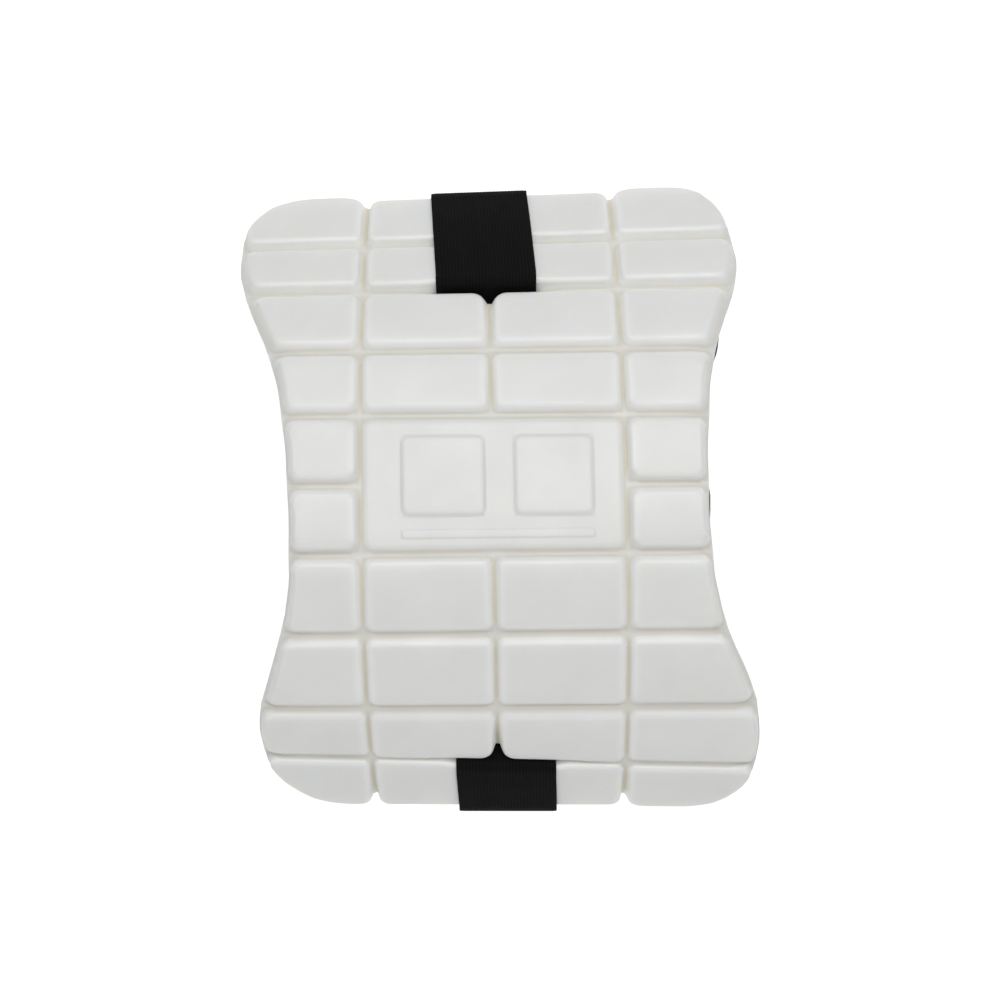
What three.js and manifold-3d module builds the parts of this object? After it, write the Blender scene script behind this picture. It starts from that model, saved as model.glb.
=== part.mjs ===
// Chest guard for sport: a pad of moulded foam held in a bow by its own loop of elastic, with a cloth lining.
// Millimetres, +Z up. It lies front face up on the loop, with the top end of the pad towards +Y.
import * as THREE from "three";
import { mergeVertices } from "three/addons/utils/BufferGeometryUtils.js";
import Module from "manifold-3d";

const wasm = await Module();
wasm.setup();

// The pad is drawn in its own coordinates: x to the right, r along the bow from the bottom end,
// and n out of the front, 0 on the tops of the blocks.
const PAD_LENGTH = 346;
const PAD_THICKNESS = 15;
const GROOVE_DEPTH = 8;
const EDGE_ROUND = 2;
const RIM_BEVEL = 0.5;
const STATION_STEP = 8;
const PAD_CORNER_RUN = 34;

// The bow as tangent arcs from the bottom end to the top end: length along it and turn in degrees.
const START_TILT = -42.9;
const ARCS = [
  { length: 83, turn: 22 },
  { length: 74, turn: 20 },
  { length: 136, turn: 25 },
  { length: 53, turn: 15 },
];

// Cross grooves from the bottom end to the top end, both ends included.
// skew is how far the groove has shifted towards the top end at SKEW_REACH to the right of the middle.
const SKEW_REACH = 90;
const GROOVES = [
  { r: 0, skew: -1.8 },
  { r: 35, skew: -3.4 },
  { r: 67, skew: -1.1 },
  { r: 106, skew: -0.7 },
  { r: 145, skew: -0.7 },
  { r: 178, skew: -1 },
  { r: 212, skew: -1 },
  { r: 246, skew: -0.5 },
  { r: 281, skew: 0.2 },
  { r: 311.5, skew: 0.9 },
  { r: PAD_LENGTH, skew: 1.6 },
];
const BOTTOM_SLOT_GROOVE = 1;
const PANEL_FIRST_ROW = 4;
const PANEL_LAST_ROW = 5;
const TOP_SLOT_GROOVE = 8;

// Lengthwise grooves between the four columns of blocks.
const COLUMN_GROOVES = [-63.7, -0.4, 63.7];

// Outline of the pad before its corners are rounded.
const OUTLINE = [
  { r: 0, left: -116, right: 127.6 },
  { r: 35, left: -117.4, right: 129.8 },
  { r: 58, left: -117, right: 129.2 },
  { r: 79, left: -111.6, right: 123.3 },
  { r: 99, left: -105.6, right: 114.8 },
  { r: 121, left: -100.5, right: 108.3 },
  { r: 145, left: -98.6, right: 105 },
  { r: 180, left: -99.5, right: 103.6 },
  { r: 213, left: -102.7, right: 105.2 },
  { r: 242, left: -108.1, right: 109 },
  { r: 266, left: -116.8, right: 116.6 },
  { r: 286, left: -124, right: 123.9 },
  { r: 307, left: -127, right: 124.8 },
  { r: PAD_LENGTH, left: -125.4, right: 120 },
];
// Elliptical corners of the outline: size across and along the pad, and how far the outer column
// reaches there beyond the end of the middle columns.
const CORNERS = {
  bottom: {
    left: { across: 42, along: 31, reach: 0 },
    right: { across: 33, along: 36, reach: 1.6 },
  },
  top: {
    left: { across: 36, along: 32, reach: 3.4 },
    right: { across: 34, along: 36, reach: 2.4 },
  },
};

// Blocks: half the groove width at the walls, rim of the base beyond the outer blocks, corner radius.
const GROOVE_HALF = 2.3;
const RIM = 1.4;
const END_RIM = 1;
const BLOCK_CORNER = 4.5;
const BURIED = 2;
// Wall of a block from its root to its top: height under the top and inset from the wall line.
const BLOCK_WALL = [
  { n: -GROOVE_DEPTH - BURIED, inset: -1 },
  { n: -2.4, inset: 0 },
  { n: -0.7, inset: 0.5 },
  { n: 0, inset: 1.7 },
];
// The end blocks go down to the rounded edge of the back.
const END_WALL = [{ n: -PAD_THICKNESS + EDGE_ROUND, inset: -0.8 }, ...BLOCK_WALL.slice(1)];

// Wide panel in the middle and the plain raised tiles on it.
const PANEL_DROP = 2.5;
const TILE_CORNER = 3;
const TILES = [
  { left: -45, right: -3, low: 162, high: 203, rise: 2 },
  { left: 9, right: 49, low: 162, high: 203, rise: 2 },
  { left: -45, right: 49, low: 151.5, high: 157.5, rise: 0.8 },
];
const TILE_WALL = [
  { n: -4, inset: -0.4 },
  { n: -0.3, inset: 0 },
  { n: 0, inset: 0.6 },
];

// Back lining: thickness, gap to the foam, trim at the ends, and its edge against the edge of the pad.
const LINING_THICKNESS = 1.2;
const LINING_GAP = 0.4;
const SEAT_GAP = 0.3;
const LINING_END_TRIM = 4;
const LINING_TRIM_LEFT = 0.6;
const LINING_EDGE_RIGHT = [
  { r: 0, proud: -0.6 },
  { r: 122, proud: -0.6 },
  { r: 152, proud: 1 },
  { r: 174, proud: 1 },
  { r: 202, proud: 0.2 },
  { r: 238, proud: 1 },
  { r: 264, proud: -0.6 },
  { r: PAD_LENGTH, proud: -0.6 },
];

// Elastic loop: woven strap, its sideways drift along the loop, and its bends.
const STRAP_WIDTH = 50;
const STRAP_THICKNESS = 1.6;
const STRAP_X = { bottomSlot: 3.6, bottomEnd: 4.2, topSlot: -1, topEnd: -5 };
const STRAP_OVER = SEAT_GAP + STRAP_THICKNESS / 2;
const STRAP_BEHIND = -PAD_THICKNESS - LINING_GAP - LINING_THICKNESS - STRAP_THICKNESS / 2 - 0.4;
// From the front of the end block down through a slot: distance from the groove towards the end, and n.
const SLOT_BEND = [
  { out: 7, n: STRAP_OVER },
  { out: 4.4, n: STRAP_OVER },
  { out: 2.9, n: 0.6 },
  { out: 1.6, n: -0.6 },
  { out: 0.8, n: -2.6 },
  { out: 0.2, n: -6 },
  { out: -1, n: -10.5 },
  { out: -2.6, n: -15 },
  { out: -4.4, n: -17.5 },
  { out: -8, n: STRAP_BEHIND },
];
// Round the end of the pad from the front: distance beyond the end, and n.
const END_BEND = [
  { out: -4, n: STRAP_OVER },
  { out: -0.6, n: 0.9 },
  { out: 0.7, n: 0.1 },
  { out: 1.4, n: -1.5 },
  { out: 1.6, n: -4 },
  { out: 1.6, n: -8 },
];
const FLOOR_BEND_REACH = 3.5;
const SLOT_HALF = 2.1;
const SLOT_SIDE_GAP = 1.2;
const SLOT_TOP = { out: 0.3, n: -6 };
const SLOT_BACK = { out: -3.4, n: -18 };

const FOAM_WHITE = 0xe4e5e4;
const CLOTH_BLACK = 0x1a1a1b;
const ELASTIC_BLACK = 0x161617;

const RADIANS = Math.PI / 180;

// How finely curves are cut: angles round a block's corner, shares of a pad corner, stations along the strap.
const CORNER_ANGLES = [0, 30, 60, 90].map((degrees) => degrees * RADIANS);
const CORNER_SHARES = [0, 0.04, 0.12, 0.25, 0.45, 0.7];
const STRAP_STEPS = { behind: 22, overTop: 6, floor: 16, overBottom: 4, floorBend: 6 };

// Value of a column of a table at r, on a smooth curve through its rows.
function smooth(table, column, r) {
  const last = table.length - 1;
  let i = 0;
  while (i < last - 1 && r > table[i + 1].r) i += 1;
  const slope = (k) => {
    const a = table[Math.max(k - 1, 0)];
    const b = table[Math.min(k + 1, last)];
    return (b[column] - a[column]) / (b.r - a.r);
  };
  const span = table[i + 1].r - table[i].r;
  const t = THREE.MathUtils.clamp((r - table[i].r) / span, 0, 1);
  const h = t * t * (3 - 2 * t);
  const start = table[i][column] + slope(i) * t * span;
  const end = table[i + 1][column] + slope(i + 1) * (t - 1) * span;
  return start * (1 - h) + end * h;
}

// Point of the bow on the tops of the blocks, and the tilt there; straight on beyond both ends.
function bowAt(r) {
  let tilt = START_TILT * RADIANS;
  let left = THREE.MathUtils.clamp(r, 0, PAD_LENGTH);
  let y = 0;
  let z = 0;
  for (const arc of ARCS) {
    const run = Math.min(left, arc.length);
    const bend = (arc.turn * RADIANS) / arc.length;
    const next = tilt + bend * run;
    y += (Math.sin(next) - Math.sin(tilt)) / bend;
    z += (Math.cos(next) - Math.cos(tilt)) / bend;
    tilt = next;
    left -= run;
  }
  const beyond = r - THREE.MathUtils.clamp(r, 0, PAD_LENGTH);
  return { y: y + beyond * Math.cos(tilt), z: z - beyond * Math.sin(tilt), tilt };
}

const MIDDLE_X = 1.6;
const MIDDLE_Y = bowAt(PAD_LENGTH).y / 2 - 0.1;
const BACK_EDGES = [bowAt(EDGE_ROUND), bowAt(PAD_LENGTH - EDGE_ROUND)];
const LOWEST_EDGE = Math.min(...BACK_EDGES.map((p) => p.z - PAD_THICKNESS * Math.cos(p.tilt)));
const LIFT = STRAP_THICKNESS + LINING_GAP - LOWEST_EDGE;

// Slope in plan of a line across the pad.
function skewAt(r) {
  return smooth(GROOVES, "skew", r) / SKEW_REACH;
}

// Place of a point of the pad in the frame of the part.
function place(x, r, n) {
  const p = bowAt(r);
  return new THREE.Vector3(
    x - MIDDLE_X,
    p.y + n * Math.sin(p.tilt) - MIDDLE_Y + skewAt(r) * x,
    p.z + n * Math.cos(p.tilt) + LIFT,
  );
}

// Edge of the outline on one side, drawn in by inset.
function edgeAt(side, r, inset) {
  const sign = side === "left" ? 1 : -1;
  const corner = ({ across, along, reach }, fromEnd) => {
    const d = fromEnd + reach + END_RIM - Math.max(inset, 0);
    const t = THREE.MathUtils.clamp(1 - d / along, 0, 1);
    return across * (1 - Math.sqrt(1 - t * t));
  };
  const low = corner(CORNERS.bottom[side], r);
  const high = corner(CORNERS.top[side], PAD_LENGTH - r);
  return smooth(OUTLINE, side, r) + sign * (inset + low + high);
}

// Closed surface over rings of equal size: round in a circle, or closed by a fan about a hub at either end.
function loft(rings, hubs) {
  const closed = hubs.length === 0;
  const positions = [];
  const faces = [];
  const size = rings[0].length;
  for (const ring of rings) for (const p of ring) positions.push(p.x, p.y, p.z);
  const bands = closed ? rings.length : rings.length - 1;
  for (let k = 0; k < bands; k += 1) {
    for (let i = 0; i < size; i += 1) {
      const a = k * size + i;
      const b = k * size + ((i + 1) % size);
      const c = ((k + 1) % rings.length) * size + ((i + 1) % size);
      const d = ((k + 1) % rings.length) * size + i;
      faces.push(a, b, c, a, c, d);
    }
  }
  hubs.forEach((point, end) => {
    const hub = positions.length / 3;
    const first = end * (rings.length - 1) * size;
    positions.push(point.x, point.y, point.z);
    for (let i = 0; i < size; i += 1) {
      const a = first + i;
      const b = first + ((i + 1) % size);
      if (end === 0) faces.push(hub, b, a);
      else faces.push(hub, a, b);
    }
  });
  const geometry = new THREE.BufferGeometry();
  geometry.setAttribute("position", new THREE.Float32BufferAttribute(positions, 3));
  geometry.setIndex(faces);
  return geometry;
}

// Middle of a ring.
function middleOf(ring) {
  const middle = new THREE.Vector3();
  for (const p of ring) middle.addScaledVector(p, 1 / ring.length);
  return middle;
}

function solidOf(geometry) {
  const merged = mergeVertices(geometry, 1e-4);
  return new wasm.Manifold(
    new wasm.Mesh({
      numProp: 3,
      vertProperties: merged.attributes.position.array,
      triVerts: new Uint32Array(merged.index.array),
    }),
  );
}

function geometryOf(solid) {
  const mesh = solid.getMesh();
  const geometry = new THREE.BufferGeometry();
  geometry.setAttribute("position", new THREE.BufferAttribute(mesh.vertProperties, 3));
  geometry.setIndex(new THREE.BufferAttribute(mesh.triVerts, 1));
  geometry.computeVertexNormals();
  return geometry;
}

// Stations along the pad, closer together in the rounded corners.
function stations(from, to, corner) {
  const list = [];
  const rows = Math.ceil((to - from - 2 * corner) / STATION_STEP);
  for (const share of CORNER_SHARES) list.push(from + share * corner);
  for (let i = 0; i <= rows; i += 1) list.push(from + corner + ((to - from - 2 * corner) * i) / rows);
  for (const share of CORNER_SHARES.toReversed()) list.push(to - share * corner);
  return list;
}

// Base sheet of the pad, with rounded edges.
function baseSheet() {
  const floor = -GROOVE_DEPTH;
  const back = -PAD_THICKNESS;
  const rings = stations(0, PAD_LENGTH, PAD_CORNER_RUN).map((r) => {
    const end = Math.min(r, PAD_LENGTH - r);
    const in0 = Math.max(0, EDGE_ROUND - end);
    const left = (inset) => edgeAt("left", r, inset + in0);
    const right = (inset) => edgeAt("right", r, inset + in0);
    return [
      place(left(EDGE_ROUND), r, back + in0),
      place(left(0), r, back + EDGE_ROUND),
      place(left(0), r, floor - RIM_BEVEL - in0),
      place(left(RIM_BEVEL), r, floor - in0),
      place(right(RIM_BEVEL), r, floor - in0),
      place(right(0), r, floor - RIM_BEVEL - in0),
      place(right(0), r, back + EDGE_ROUND),
      place(right(EDGE_ROUND), r, back + in0),
    ];
  });
  return solidOf(loft(rings, [middleOf(rings[0]), middleOf(rings.at(-1))]));
}

// Ring of a rounded block drawn in by inset, anticlockwise seen from the front.
function blockRing(cell, inset, n) {
  const low = cell.low + inset;
  const high = cell.high - inset;
  const radius = cell.corner - inset * 0.5;
  const ring = [];
  const side = (edge, sign, middles) => {
    const points = [];
    for (const a of CORNER_ANGLES) {
      const r = low + radius * (1 - Math.cos(a));
      points.push([edge(r, inset) - sign * radius * (1 - Math.sin(a)), r]);
    }
    for (let i = 1; i <= middles; i += 1) {
      const r = low + radius + ((high - low - 2 * radius) * i) / (middles + 1);
      points.push([edge(r, inset), r]);
    }
    for (const a of CORNER_ANGLES.toReversed()) {
      const r = high - radius * (1 - Math.cos(a));
      points.push([edge(r, inset) - sign * radius * (1 - Math.sin(a)), r]);
    }
    return points;
  };
  ring.push(...side(cell.right, 1, cell.rightMiddles));
  ring.push(...side(cell.left, -1, cell.leftMiddles).reverse());
  return ring.map(([x, r]) => place(x, r, n));
}

function blockSolid(cell, drop) {
  const { wall } = cell;
  const rings = wall.map((step) => blockRing(cell, step.inset, step.n - drop));
  const r = (cell.low + cell.high) / 2;
  const x = (cell.left(r, 0) + cell.right(r, 0)) / 2;
  const hubs = [wall[0], wall.at(-1)].map((step) => place(x, r, step.n - drop));
  return solidOf(loft(rings, hubs));
}

// Cell of the grid of blocks from one column to another and one row to another.
function gridCell(firstColumn, lastColumn, firstRow, lastRow) {
  const lastIndex = COLUMN_GROOVES.length;
  const leftOuter = firstColumn === 0;
  const rightOuter = lastColumn === lastIndex;
  const inLeft = COLUMN_GROOVES[firstColumn - 1] + GROOVE_HALF;
  const inRight = COLUMN_GROOVES[lastColumn] - GROOVE_HALF;
  const left = (r, inset) => (leftOuter ? edgeAt("left", r, RIM + inset) : inLeft + inset);
  const right = (r, inset) => (rightOuter ? edgeAt("right", r, RIM + inset) : inRight - inset);
  const atBottom = firstRow === 0;
  const atTop = lastRow === GROOVES.length - 2;
  const atEnd = atBottom || atTop;
  const reach = (corner) => (leftOuter ? corner.left.reach : rightOuter ? corner.right.reach : 0);
  const low = atBottom ? END_RIM - reach(CORNERS.bottom) : GROOVES[firstRow].r + GROOVE_HALF;
  const high = atTop ? PAD_LENGTH - END_RIM + reach(CORNERS.top) : GROOVES[lastRow + 1].r - GROOVE_HALF;
  const outerMiddles = atEnd ? 6 : 2;
  const innerMiddles = lastRow > firstRow ? 3 : 0;
  return {
    left,
    right,
    low,
    high,
    corner: BLOCK_CORNER,
    wall: atEnd ? END_WALL : BLOCK_WALL,
    leftMiddles: leftOuter ? outerMiddles : innerMiddles,
    rightMiddles: rightOuter ? outerMiddles : innerMiddles,
  };
}

// All the blocks of the pad, the panel and its tiles.
function blocks() {
  const list = [];
  const columns = COLUMN_GROOVES.length + 1;
  for (let row = 0; row < GROOVES.length - 1; row += 1) {
    const besidePanel = row >= PANEL_FIRST_ROW && row <= PANEL_LAST_ROW;
    for (let column = 0; column < columns; column += 1) {
      const outer = column === 0 || column === columns - 1;
      if (besidePanel && !outer) continue;
      list.push(blockSolid(gridCell(column, column, row, row), 0));
    }
  }
  const panel = gridCell(1, columns - 2, PANEL_FIRST_ROW, PANEL_LAST_ROW);
  list.push(blockSolid(panel, PANEL_DROP));
  for (const tile of TILES) {
    const cell = {
      left: (r, inset) => tile.left + inset,
      right: (r, inset) => tile.right - inset,
      low: tile.low,
      high: tile.high,
      corner: Math.min(TILE_CORNER, (tile.high - tile.low) / 3),
      wall: TILE_WALL,
      leftMiddles: 1,
      rightMiddles: 1,
    };
    list.push(blockSolid(cell, PANEL_DROP - tile.rise));
  }
  return list;
}

// Slot for the strap through the base, slanting back towards the middle of the pad.
function slotCutter(groove, towards, x) {
  const r = GROOVES[groove].r;
  const half = STRAP_WIDTH / 2 + SLOT_SIDE_GAP;
  const profile = [
    { out: SLOT_TOP.out - SLOT_HALF, n: SLOT_TOP.n },
    { out: SLOT_TOP.out + SLOT_HALF, n: SLOT_TOP.n },
    { out: SLOT_BACK.out + SLOT_HALF, n: SLOT_BACK.n },
    { out: SLOT_BACK.out - SLOT_HALF, n: SLOT_BACK.n },
  ];
  const ring = (side) => profile.map((p) => place(x + side * half, r + towards * p.out, p.n));
  const rings = towards > 0 ? [ring(1), ring(-1)] : [ring(-1), ring(1)];
  return solidOf(loft(rings, rings.map(middleOf)));
}

// Cloth lining over the back of the pad.
function liningSheet() {
  const front = -PAD_THICKNESS - LINING_GAP;
  const back = front - LINING_THICKNESS;
  const rings = stations(LINING_END_TRIM, PAD_LENGTH - LINING_END_TRIM, PAD_CORNER_RUN).map((r) => {
    const left = edgeAt("left", r, LINING_TRIM_LEFT);
    const right = edgeAt("right", r, 0) + smooth(LINING_EDGE_RIGHT, "proud", r);
    return [place(left, r, back), place(left, r, front), place(right, r, front), place(right, r, back)];
  });
  return solidOf(loft(rings, [middleOf(rings[0]), middleOf(rings.at(-1))]));
}

// Middle line of the strap, once round the loop, with its slope across in plan.
function strapLine() {
  const line = [];
  const bottom = GROOVES[BOTTOM_SLOT_GROOVE].r;
  const top = GROOVES[TOP_SLOT_GROOVE].r;
  const inset = -SLOT_BEND.at(-1).out;
  const lerp = THREE.MathUtils.lerp;
  const put = (r, n, x) => line.push({ point: place(x, r, n), skew: skewAt(r) });
  const between = (a, b, count, visit) => {
    for (let i = 1; i < count; i += 1) visit(lerp(a, b, i / count), i / count);
  };
  const floorBend = (r, towards, x) => {
    const last = END_BEND.at(-1);
    const from = place(x, r + towards * last.out, last.n);
    const along = place(x, r + towards * last.out, last.n - 1).sub(from);
    const reach = (STRAP_THICKNESS / 2 - from.z) / along.z;
    const corner = from.clone().addScaledVector(along, reach);
    const start = from.clone().lerp(corner, 1 - FLOOR_BEND_REACH / reach);
    const end = corner.clone().add(new THREE.Vector3(0, -towards * FLOOR_BEND_REACH, 0));
    const curve = new THREE.QuadraticBezierCurve3(start, corner, end);
    return curve.getPoints(STRAP_STEPS.floorBend).map((point) => ({ point, skew: skewAt(r) }));
  };
  between(bottom + inset, top - inset, STRAP_STEPS.behind, (r, t) => {
    put(r, STRAP_BEHIND, lerp(STRAP_X.bottomSlot, STRAP_X.topSlot, t));
  });
  for (const p of SLOT_BEND.toReversed()) put(top + p.out, p.n, STRAP_X.topSlot);
  between(top + SLOT_BEND[0].out, PAD_LENGTH + END_BEND[0].out, STRAP_STEPS.overTop, (r, t) => {
    put(r, STRAP_OVER, lerp(STRAP_X.topSlot, STRAP_X.topEnd, t));
  });
  for (const p of END_BEND) put(PAD_LENGTH + p.out, p.n, STRAP_X.topEnd);
  line.push(...floorBend(PAD_LENGTH, 1, STRAP_X.topEnd));
  const leaving = line.at(-1);
  const landing = floorBend(0, -1, STRAP_X.bottomEnd).reverse();
  between(0, 1, STRAP_STEPS.floor, (t) => {
    const point = leaving.point.clone().lerp(landing[0].point, t);
    line.push({ point, skew: lerp(leaving.skew, landing[0].skew, t) });
  });
  line.push(...landing);
  for (const p of END_BEND.toReversed()) put(-p.out, p.n, STRAP_X.bottomEnd);
  between(-END_BEND[0].out, bottom - SLOT_BEND[0].out, STRAP_STEPS.overBottom, (r, t) => {
    put(r, STRAP_OVER, lerp(STRAP_X.bottomEnd, STRAP_X.bottomSlot, t));
  });
  for (const p of SLOT_BEND) put(bottom - p.out, p.n, STRAP_X.bottomSlot);
  return line;
}

// Strap of even thickness along its middle line.
function strapSolid() {
  const line = strapLine();
  const count = line.length;
  const rings = line.map(({ point, skew }, i) => {
    const before = line[(i + count - 1) % count].point;
    const after = line[(i + 1) % count].point;
    const a = new THREE.Vector3(0, point.y - before.y, point.z - before.z).normalize();
    const b = new THREE.Vector3(0, after.y - point.y, after.z - point.z).normalize();
    const along = a.clone().add(b).normalize();
    const out = new THREE.Vector3(0, -along.z, along.y);
    const half = STRAP_THICKNESS / 2 / along.dot(a);
    const corner = (side, face) => {
      const across = (side * STRAP_WIDTH) / 2;
      return new THREE.Vector3(across, across * skew, 0).add(point).addScaledVector(out, face * half);
    };
    return [corner(-1, -1), corner(-1, 1), corner(1, 1), corner(1, -1)];
  });
  return solidOf(loft(rings, []));
}

const slots = [
  slotCutter(TOP_SLOT_GROOVE, 1, STRAP_X.topSlot),
  slotCutter(BOTTOM_SLOT_GROOVE, -1, STRAP_X.bottomSlot),
];
let pad = baseSheet();
for (const block of blocks()) pad = pad.add(block);
let lining = liningSheet();
for (const slot of slots) {
  pad = pad.subtract(slot);
  lining = lining.subtract(slot);
}

// Edges shorter than this are left out of a finished solid.
const SHORTEST_EDGE = 0.01;

const chestGuard = new THREE.Group();
chestGuard.name = "chest_guard";
const pieces = [
  { name: "foam_pad", solid: pad, color: FOAM_WHITE, roughness: 0.55 },
  { name: "back_lining", solid: lining, color: CLOTH_BLACK, roughness: 0.9 },
  { name: "elastic_strap", solid: strapSolid(), color: ELASTIC_BLACK, roughness: 0.8 },
];
for (const piece of pieces) {
  const material = new THREE.MeshStandardMaterial({
    color: piece.color,
    roughness: piece.roughness,
    metalness: 0,
  });
  const mesh = new THREE.Mesh(geometryOf(piece.solid.simplify(SHORTEST_EDGE)), material);
  mesh.name = piece.name;
  chestGuard.add(mesh);
}

export default chestGuard;
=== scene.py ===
import math
from collections import defaultdict, namedtuple

import bmesh
import bpy
from bpy.props import FloatProperty, FloatVectorProperty, IntProperty, PointerProperty
from mathutils import Matrix, Vector, noise


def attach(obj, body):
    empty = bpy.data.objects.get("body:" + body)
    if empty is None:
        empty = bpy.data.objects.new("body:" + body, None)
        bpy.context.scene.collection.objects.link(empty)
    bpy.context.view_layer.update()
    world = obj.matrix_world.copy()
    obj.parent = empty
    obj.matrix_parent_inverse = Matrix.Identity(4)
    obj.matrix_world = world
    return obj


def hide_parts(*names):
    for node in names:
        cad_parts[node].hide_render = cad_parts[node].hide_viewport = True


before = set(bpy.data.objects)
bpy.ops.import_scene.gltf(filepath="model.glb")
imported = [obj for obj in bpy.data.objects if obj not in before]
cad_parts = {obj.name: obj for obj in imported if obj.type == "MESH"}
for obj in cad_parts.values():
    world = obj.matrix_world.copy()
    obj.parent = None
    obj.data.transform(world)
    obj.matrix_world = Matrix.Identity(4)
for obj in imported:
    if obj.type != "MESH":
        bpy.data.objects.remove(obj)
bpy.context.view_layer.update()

bl_info = {
    "name": "Chest guard",
    "version": (1, 0, 0),
    "blender": (4, 5, 0),
    "location": "View3D > Sidebar > Chest guard",
    "description": "Foam pad, back lining and elastic loop of a chest guard, with the stage for its picture",
    "category": "Object",
}

BODY = "root"

# All lengths are in metres. The pad is drawn flat: x to the right, r along the bow from its bottom end and
# z up from the floor of the grooves. It is then bent to the bow.
PAD_LENGTH = 0.346
PAD_THICKNESS = 0.015
GROOVE_DEPTH = 0.008
EDGE_ROUND = 0.002

# Bow of the pad in profile: tilt of its bottom end, then arcs up to its top end.
Arc = namedtuple("Arc", "length turn")
START_TILT = math.radians(-42.9)
ARCS = (Arc(0.083, 22), Arc(0.074, 20), Arc(0.136, 25), Arc(0.053, 15))

# Lines across the pad from end to end: how far each one leans at a reach from the middle, how far the edges
# of the blocks above and below it are drawn over the groove, and how far the soft foam draws its floor up.
Groove = namedtuple("Groove", "r skew above below fill")
SKEW_REACH = 0.09
GROOVES = (
    Groove(0.0, -0.0018, 0.0, 0.0, 0.0018),
    Groove(0.0335, -0.0034, 0.0021, 0.0018, 0.0058),
    Groove(0.066, -0.0011, 0.001, -0.0012, 0.006),
    Groove(0.1049, -0.0007, 0.0003, 0.0, 0.0052),
    Groove(0.1445, -0.0007, 0.0003, 0.0006, 0.0036),
    Groove(0.178, -0.001, 0.0, 0.0, 0.003),
    Groove(0.2124, -0.001, 0.0, 0.0, 0.0042),
    Groove(0.2462, -0.0005, 0.0, 0.0, 0.0042),
    Groove(0.281, 0.0002, 0.001, 0.0, 0.0018),
    Groove(0.3108, 0.0009, 0.0008, 0.0, 0.0018),
    Groove(PAD_LENGTH, 0.0016, 0.0, 0.0, 0.0018),
)
PANEL_LOW = GROOVES[4].r
PANEL_HIGH = GROOVES[6].r
COLUMN_GROOVES = (-0.0637, -0.0004, 0.0637)

# Slots for the strap: the groove each one is cut in, its place across the pad and the end it lies towards.
Slot = namedtuple("Slot", "r x towards")
BOTTOM_SLOT = Slot(GROOVES[1].r, 0.0036, -1)
TOP_SLOT = Slot(GROOVES[8].r, -0.0019, 1)
SLOTS = (BOTTOM_SLOT, TOP_SLOT)
SLOT_SIDE_GAP = 0.0012
SLOT_TIP = 0.0055
SLOT_TIP_HALF = 0.007
SLOT_SLANT = 0.31
SLOT_CUT_MARGIN = 0.003
SLOT_CUT_REACH = 0.04

# Outline of the pad: where its sides are, and the rounding of its corners. Reach is how far the block in a
# corner goes beyond the end of the middle blocks, and power is 2 for an ellipse and more for a fuller corner.
Section = namedtuple("Section", "r left right")
OUTLINE = (
    Section(0.0, -0.116, 0.1276),
    Section(0.035, -0.1183, 0.1298),
    Section(0.058, -0.118, 0.1292),
    Section(0.079, -0.1125, 0.1233),
    Section(0.099, -0.1064, 0.1148),
    Section(0.121, -0.101, 0.1083),
    Section(0.145, -0.0993, 0.105),
    Section(0.18, -0.0998, 0.104),
    Section(0.213, -0.1027, 0.1057),
    Section(0.242, -0.1084, 0.1097),
    Section(0.266, -0.1172, 0.1171),
    Section(0.286, -0.124, 0.1239),
    Section(0.307, -0.127, 0.1248),
    Section(PAD_LENGTH, -0.1254, 0.12),
)
Corner = namedtuple("Corner", "across along reach power")
CORNERS = {
    ("bottom", "left"): Corner(0.042, 0.031, 0.0, 2.0),
    ("bottom", "right"): Corner(0.033, 0.036, 0.0016, 2.1),
    ("top", "left"): Corner(0.036, 0.032, 0.0038, 2.25),
    ("top", "right"): Corner(0.034, 0.036, 0.0028, 3.0),
}
REACH_RAMP = 0.012
CORNER_SLACK = 0.001

# Corners of the blocks: the stretch of the waist, and how near to a side, a slot or an end of the pad a
# corner is rounded as it is there.
WAIST_LOW = GROOVES[4].r - 0.008
WAIST_HIGH = GROOVES[7].r + 0.008
NEAR_SIDE = 0.02
NEAR_SLOT_ALONG = 0.004
NEAR_SLOT_ACROSS = 0.025
NEAR_END = 0.006

# Walls of the blocks: how far their foot stands from the middle of a groove across the pad and along it, from
# a side and from an end, how far they slope in up to the top, and the width of the rounding there.
FOOT_TO_ROW = 0.0014
FOOT_TO_COLUMN = 0.0006
FOOT_TO_SIDE = 0.0008
FOOT_TO_END = 0.0008
WALL_SLOPE = 0.0019
CROWN = 0.0018

# Tops of the blocks: how far they dome down beside a groove and how wide, how far they lean in over a side of
# the pad and out over an end, and the width over which the lean fades.
DOME = 0.0005
DOME_WIDTH = 0.005
DOME_LINES = (0.0058, 0.0074, 0.0096, 0.0136)
Lean = namedtuple("Lean", "r side")
SIDE_LEAN = (
    Lean(0.0, -0.001),
    Lean(0.02, -0.0004),
    Lean(0.051, -0.0002),
    Lean(0.0865, 0.0014),
    Lean(0.125, 0.0008),
    Lean(0.161, 0.0008),
    Lean(0.195, 0.001),
    Lean(0.229, 0.0018),
    Lean(0.2635, 0.003),
    Lean(0.296, 0.0022),
    Lean(0.326, -0.0004),
    Lean(PAD_LENGTH, -0.001),
)
END_LEAN = -0.0021
LEAN_START = 0.003
LEAN_WIDTH = 0.016
SLOPE_STEP = 0.001
WAVE_SCALE = 55

# Edges of the tops that are drawn over a groove: the width that moves, its share in the outer columns, and
# the length over which it fades beside the strap.
EDGE_WIDTH = 0.01
OUTER_EDGE_SHARE = 0.35
STRAP_FADE = 0.004

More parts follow.
